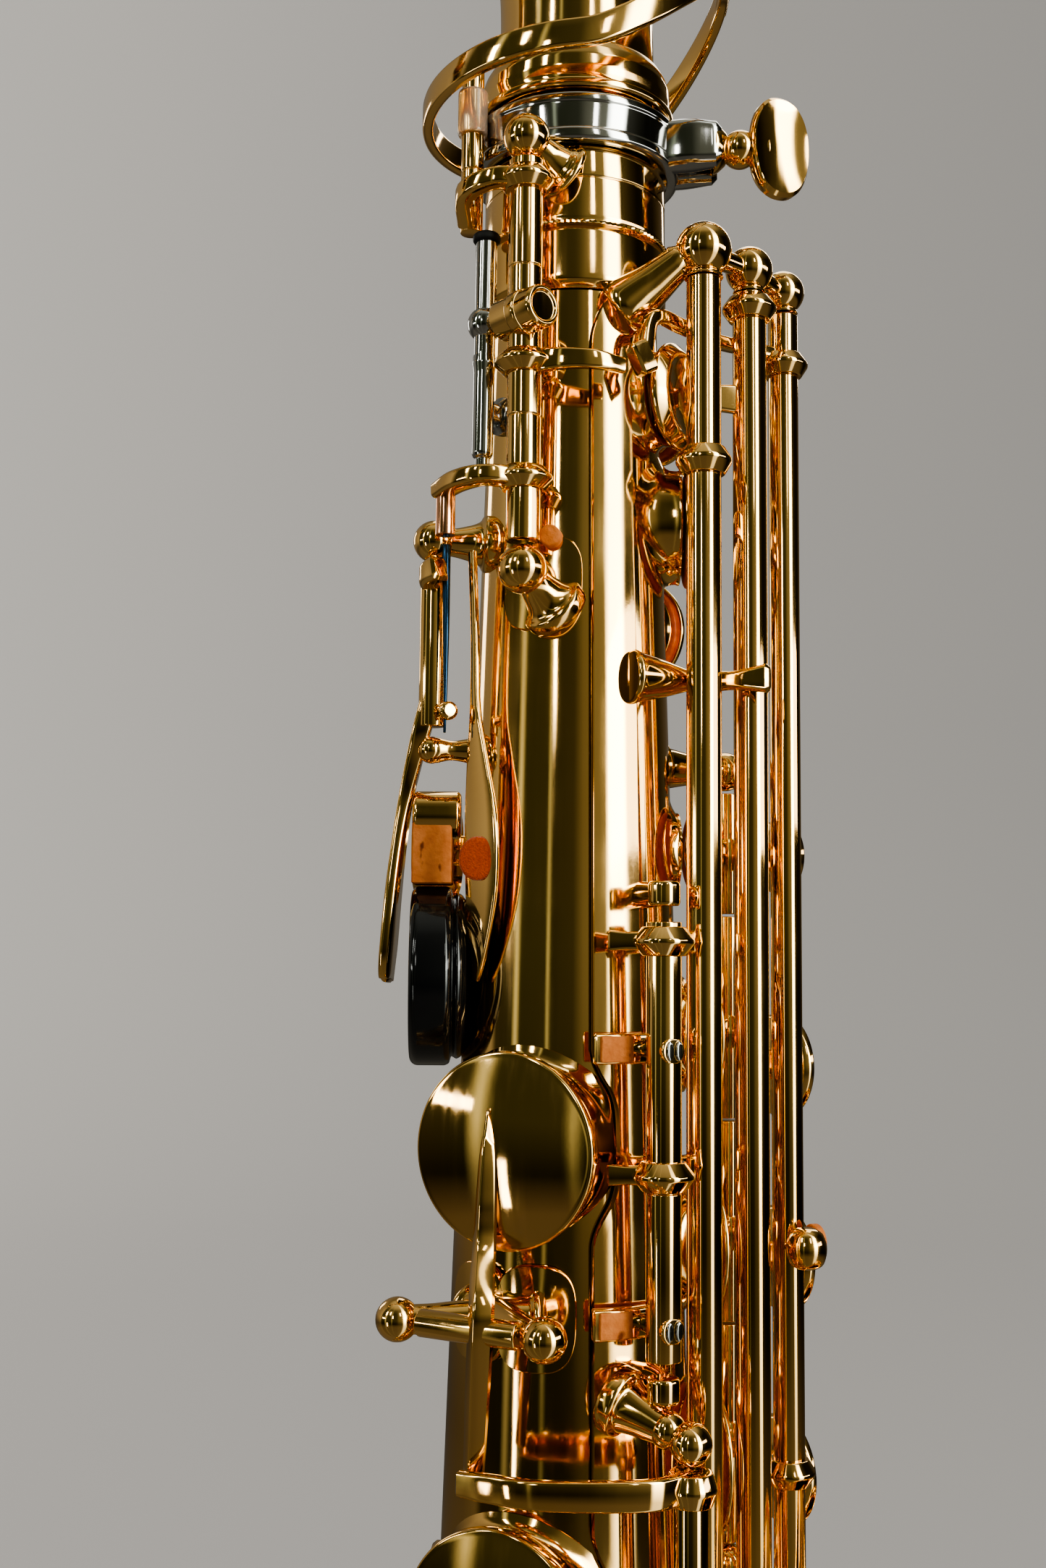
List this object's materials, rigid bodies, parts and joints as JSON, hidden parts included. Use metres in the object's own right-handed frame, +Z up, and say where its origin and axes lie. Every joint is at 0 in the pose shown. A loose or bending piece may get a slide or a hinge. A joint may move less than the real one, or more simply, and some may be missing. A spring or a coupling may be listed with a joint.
{
  "type": "saxophone",
  "caption": "Alto saxophone with a conical brass body, bow, flared bell, curved neck, mouthpiece and sprung keywork that closes its tone holes.",
  "frame": {"origin": "centre of the strap ring's eye, on the player's side of the body tube", "axes": "+Z up along the body tube towards the neck, +Y towards the player, -Y towards the bell, -X towards the player's right"},
  "size_m": [0.1212, 0.3707, 0.6409],
  "materials": {
    "lacquered_brass": "mirror-bright gold lacquer",
    "nickel": "polished nickel plate",
    "black_plastic": "gloss moulded",
    "ebonite": "polished hard rubber",
    "cork": "sanded cork sheet",
    "cane": "planed cane"
  },
  "bodies": {
    "body": {"body_tube": "lacquered_brass", "bow": "lacquered_brass", "bell": "lacquered_brass", "body_bow_ring": "lacquered_brass", "bell_bow_ring": "lacquered_brass", "bell_brace": "lacquered_brass", "neck_receiver": "lacquered_brass", "receiver_clamp": "nickel", "strap_ring": "lacquered_brass", "thumb_rest": "black_plastic", "thumb_hook": "lacquered_brass", "right_rib": "lacquered_brass", "rods_mid_post": "lacquered_brass", "side_c_hinge_posts": "lacquered_brass", "side_bb_hinge_posts": "lacquered_brass", "bridge_post_top": "lacquered_brass", "bridge_post_low": "lacquered_brass", "side_c_post_top": "lacquered_brass", "side_c_post_low": "lacquered_brass", "bell_key_guard": "lacquered_brass"},
    "neck": {"neck_tube": "lacquered_brass", "neck_cork": "cork"},
    "mouthpiece_body": {"mouthpiece": "ebonite", "ligature": "lacquered_brass", "reed": "cane"},
    "receiver_screw_body": {"receiver_screw": "lacquered_brass"},
    "octave_thumb_lever_body": {"octave_thumb_lever": "lacquered_brass"},
    "octave_rocker_body": {"octave_rocker": "lacquered_brass"},
    "neck_octave_key_body": {"neck_octave_key": "lacquered_brass"},
    "body_octave_key_body": {"body_octave_key": "nickel"},
    "high_e_key_body": {"high_e_key": "lacquered_brass"},
    "high_fs_key_body": {"high_fs_key": "lacquered_brass"},
    "g_link_key_body": {"g_link_key": "lacquered_brass"},
    "bridge_key_body": {"bridge_key": "lacquered_brass"},
    "c_vent_key_body": {"c_vent_key": "lacquered_brass"},
    "b_key_body": {"b_key": "lacquered_brass"},
    "a_key_body": {"a_key": "lacquered_brass"},
    "g_key_body": {"g_key": "lacquered_brass"},
    "fs_vent_key_body": {"fs_vent_key": "lacquered_brass"},
    "f_key_body": {"f_key": "lacquered_brass"},
    "e_key_body": {"e_key": "lacquered_brass"},
    "d_key_body": {"d_key": "lacquered_brass"},
    "side_c_cup_body": {"side_c_cup": "lacquered_brass"},
    "side_bb_cup_body": {"side_bb_cup": "lacquered_brass"},
    "side_c_lever_body": {"side_c_lever": "lacquered_brass"},
    "side_bb_lever_body": {"side_bb_lever": "lacquered_brass"},
    "palm_f_key_body": {"palm_f_key": "lacquered_brass"},
    "palm_eb_key_body": {"palm_eb_key": "lacquered_brass"},
    "palm_d_key_body": {"palm_d_key": "lacquered_brass"},
    "g_sharp_key_body": {"g_sharp_key": "lacquered_brass"},
    "low_bb_key_body": {"low_bb_key": "lacquered_brass"},
    "low_b_key_body": {"low_b_key": "lacquered_brass"},
    "low_cs_key_body": {"low_cs_key": "lacquered_brass"},
    "low_eb_key_body": {"low_eb_key": "lacquered_brass"},
    "low_c_key_body": {"low_c_key": "lacquered_brass"}
  },
  "joints": [
    {"name": "neck_hinge", "type": "hinge", "parent": "body", "child": "neck", "pos_m": [0, -0.027, 0.21], "axis": [0, 0, 1], "range_deg": [-25, 25]},
    {"name": "mouthpiece_slide", "type": "slide", "parent": "neck", "child": "mouthpiece_body", "axis": [0, 0.967, -0.2549], "range_m": [0, 0.006]},
    {"name": "receiver_screw_hinge", "type": "hinge", "parent": "body", "child": "receiver_screw_body", "pos_m": [-0.005, -0.047, 0.2114], "axis": [0, -1, 0], "range_deg": [-90, 90]},
    {"name": "octave_thumb_lever_hinge", "type": "hinge", "parent": "body", "child": "octave_thumb_lever_body", "pos_m": [-0.00605, -0.0072, 0.137], "axis": [0, 0, -1], "range_deg": [0, 8], "stiffness_Nm_per_rad": 0.02},
    {"name": "octave_rocker_hinge", "type": "hinge", "parent": "body", "child": "octave_rocker_body", "pos_m": [-0.01703, -0.01977, 0.176], "axis": [0, 0, 1], "range_deg": [0, 5], "stiffness_Nm_per_rad": 0.02},
    {"name": "neck_octave_key_hinge", "type": "hinge", "parent": "neck", "child": "neck_octave_key_body", "pos_m": [0, 0.0075, 0.2885], "axis": [1, 0, 0], "range_deg": [0, 2.5], "stiffness_Nm_per_rad": 0.02},
    {"name": "body_octave_key_hinge", "type": "hinge", "parent": "body", "child": "body_octave_key_body", "pos_m": [-0.0139, -0.01404, 0.163], "axis": [-0.682, -0.7314, 0], "range_deg": [0, 4], "stiffness_Nm_per_rad": 0.02},
    {"name": "high_e_key_hinge", "type": "hinge", "parent": "body", "child": "high_e_key_body", "pos_m": [-0.01401, -0.04461, 0.09], "axis": [0, 0, -1], "range_deg": [0, 6], "stiffness_Nm_per_rad": 0.02},
    {"name": "high_fs_key_hinge", "type": "hinge", "parent": "body", "child": "high_fs_key_body", "pos_m": [-0.00714, -0.0519, 0.07], "axis": [0, 0, 1], "range_deg": [0, 5], "stiffness_Nm_per_rad": 0.02},
    {"name": "g_link_key_hinge", "type": "hinge", "parent": "body", "child": "g_link_key_body", "pos_m": [0.00108, -0.05798, 0.09], "axis": [0, 0, -1], "range_deg": [0, 3], "stiffness_Nm_per_rad": 0.02},
    {"name": "bridge_key_hinge", "type": "hinge", "parent": "body", "child": "bridge_key_body", "pos_m": [-0.02099, -0.03864, 0.07], "axis": [0, 0, 1], "range_deg": [0, 3], "stiffness_Nm_per_rad": 0.02},
    {"name": "c_vent_key_hinge", "type": "hinge", "parent": "body", "child": "c_vent_key_body", "pos_m": [0.01095, -0.05047, 0.109], "axis": [0, 0, -1], "range_deg": [0, 7], "stiffness_Nm_per_rad": 0.02},
    {"name": "b_key_hinge", "type": "hinge", "parent": "body", "child": "b_key_body", "pos_m": [0.01095, -0.05047, 0.083], "axis": [0, 0, -1], "range_deg": [0, 7], "stiffness_Nm_per_rad": 0.02},
    {"name": "a_key_hinge", "type": "hinge", "parent": "body", "child": "a_key_body", "pos_m": [0.01095, -0.05047, 0.054], "axis": [0, 0, -1], "range_deg": [0, 6], "stiffness_Nm_per_rad": 0.02},
    {"name": "g_key_hinge", "type": "hinge", "parent": "body", "child": "g_key_body", "pos_m": [0.01095, -0.05047, 0.025], "axis": [0, 0, -1], "range_deg": [0, 5], "stiffness_Nm_per_rad": 0.02},
    {"name": "fs_vent_key_hinge", "type": "hinge", "parent": "body", "child": "fs_vent_key_body", "pos_m": [-0.02208, -0.05152, -0.058], "axis": [0, 0, 1], "range_deg": [0, 6], "stiffness_Nm_per_rad": 0.02},
    {"name": "f_key_hinge", "type": "hinge", "parent": "body", "child": "f_key_body", "pos_m": [-0.02208, -0.05152, -0.088], "axis": [0, 0, 1], "range_deg": [0, 6], "stiffness_Nm_per_rad": 0.02},
    {"name": "e_key_hinge", "type": "hinge", "parent": "body", "child": "e_key_body", "pos_m": [-0.02208, -0.05152, -0.121], "axis": [0, 0, 1], "range_deg": [0, 6], "stiffness_Nm_per_rad": 0.02},
    {"name": "d_key_hinge", "type": "hinge", "parent": "body", "child": "d_key_body", "pos_m": [-0.02208, -0.05152, -0.156], "axis": [0, 0, 1], "range_deg": [0, 6], "stiffness_Nm_per_rad": 0.02},
    {"name": "side_c_cup_hinge", "type": "hinge", "parent": "body", "child": "side_c_cup_body", "pos_m": [-0.0226, -0.01395, 0.047], "axis": [-0.5, -0.866, 0], "range_deg": [0, 7], "stiffness_Nm_per_rad": 0.02},
    {"name": "side_bb_cup_hinge", "type": "hinge", "parent": "body", "child": "side_bb_cup_body", "pos_m": [-0.0226, -0.01395, -0.0127], "axis": [-0.5, -0.866, 0], "range_deg": [0, 7], "stiffness_Nm_per_rad": 0.02},
    {"name": "side_c_lever_hinge", "type": "hinge", "parent": "body", "child": "side_c_lever_body", "pos_m": [-0.02374, -0.04184, 0.0285], "axis": [0, 0, -1], "range_deg": [0, 4.6], "stiffness_Nm_per_rad": 0.02},
    {"name": "side_bb_lever_hinge", "type": "hinge", "parent": "body", "child": "side_bb_lever_body", "pos_m": [-0.02644, -0.03458, -0.031], "axis": [0, 0, -1], "range_deg": [0, 6], "stiffness_Nm_per_rad": 0.02},
    {"name": "palm_f_key_hinge", "type": "hinge", "parent": "body", "child": "palm_f_key_body", "pos_m": [0.01862, -0.03775, 0.176], "axis": [0, 0, 1], "range_deg": [0, 7], "stiffness_Nm_per_rad": 0.02},
    {"name": "palm_eb_key_hinge", "type": "hinge", "parent": "body", "child": "palm_eb_key_body", "pos_m": [0.02179, -0.02776, 0.143], "axis": [0, 0, 1], "range_deg": [0, 7], "stiffness_Nm_per_rad": 0.02},
    {"name": "palm_d_key_hinge", "type": "hinge", "parent": "body", "child": "palm_d_key_body", "pos_m": [0.02066, -0.01736, 0.114], "axis": [0, 0, 1], "range_deg": [0, 7], "stiffness_Nm_per_rad": 0.02},
    {"name": "g_sharp_key_hinge", "type": "hinge", "parent": "body", "child": "g_sharp_key_body", "pos_m": [0.02081, -0.04574, -0.019], "axis": [0, 0, 1], "range_deg": [0, 4], "stiffness_Nm_per_rad": 0.02},
    {"name": "low_bb_key_hinge", "type": "hinge", "parent": "body", "child": "low_bb_key_body", "pos_m": [0.02375, -0.04693, -0.096], "axis": [0, 0, -1], "range_deg": [0, 3.5], "stiffness_Nm_per_rad": 0.05},
    {"name": "low_b_key_hinge", "type": "hinge", "parent": "body", "child": "low_b_key_body", "pos_m": [0.02762, -0.04107, -0.152], "axis": [0, 0, -1], "range_deg": [0, 3.5], "stiffness_Nm_per_rad": 0.05},
    {"name": "low_cs_key_hinge", "type": "hinge", "parent": "body", "child": "low_cs_key_body", "pos_m": [0.0302, -0.03397, -0.226], "axis": [0, 0, 1], "range_deg": [0, 4], "stiffness_Nm_per_rad": 0.05},
    {"name": "low_eb_key_hinge", "type": "hinge", "parent": "body", "child": "low_eb_key_body", "pos_m": [-0.03424, -0.03428, -0.2], "axis": [0, 0, -1], "range_deg": [0, 8], "stiffness_Nm_per_rad": 0.05},
    {"name": "low_c_key_hinge", "type": "hinge", "parent": "body", "child": "low_c_key_body", "pos_m": [-0.03424, -0.03428, -0.22], "axis": [0, 0, 1], "range_deg": [0, 5], "stiffness_Nm_per_rad": 0.05}
  ],
  "couplings": [
    {"joint": "octave_rocker_hinge", "follows": "octave_thumb_lever_hinge", "ratio": 0.625},
    {"joint": "neck_octave_key_hinge", "follows": "octave_thumb_lever_hinge", "ratio": 0.3125},
    {"joint": "side_c_cup_hinge", "follows": "side_c_lever_hinge", "ratio": 1.52},
    {"joint": "side_bb_cup_hinge", "follows": "side_bb_lever_hinge", "ratio": 1.166}
  ]
}
